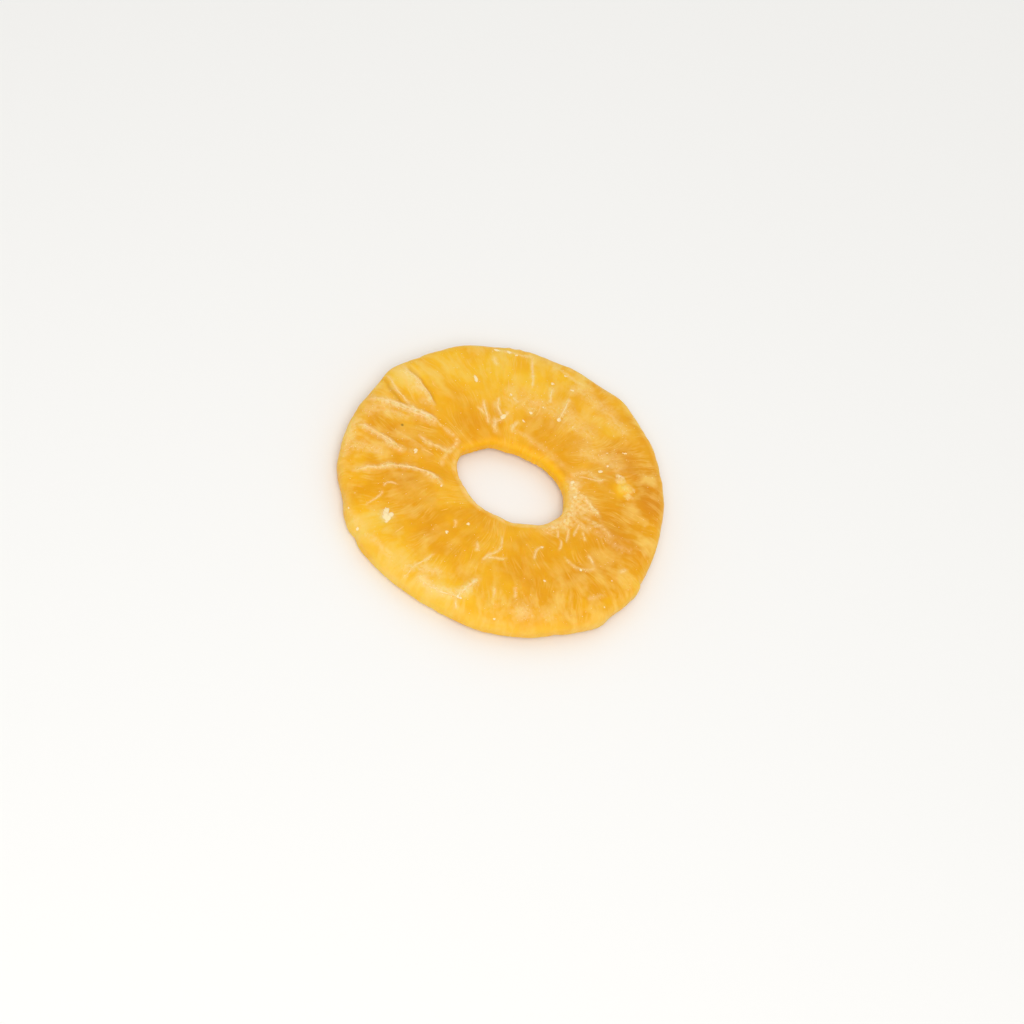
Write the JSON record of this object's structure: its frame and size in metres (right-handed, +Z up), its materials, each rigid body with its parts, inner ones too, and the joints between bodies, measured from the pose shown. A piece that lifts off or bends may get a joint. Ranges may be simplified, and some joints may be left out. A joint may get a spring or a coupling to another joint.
{
  "type": "dried pineapple ring",
  "caption": "Dried candied pineapple ring: a flat cored slice with a rounded uneven rim, radial fibre ridges and an oval hole, lying flat.",
  "frame": {"origin": "under the middle of the ring's box, on the surface that it lies on", "axes": "+Z up, out of the better face; +X to the viewer's right along the ring; +Y away from the viewer"},
  "size_m": [0.0748, 0.0758, 0.0072],
  "materials": {
    "candied_flesh": "satin, slightly translucent, with dry sugar grains"
  },
  "bodies": {
    "root": {"pineapple_ring": "candied_flesh"}
  },
  "joints": []
}
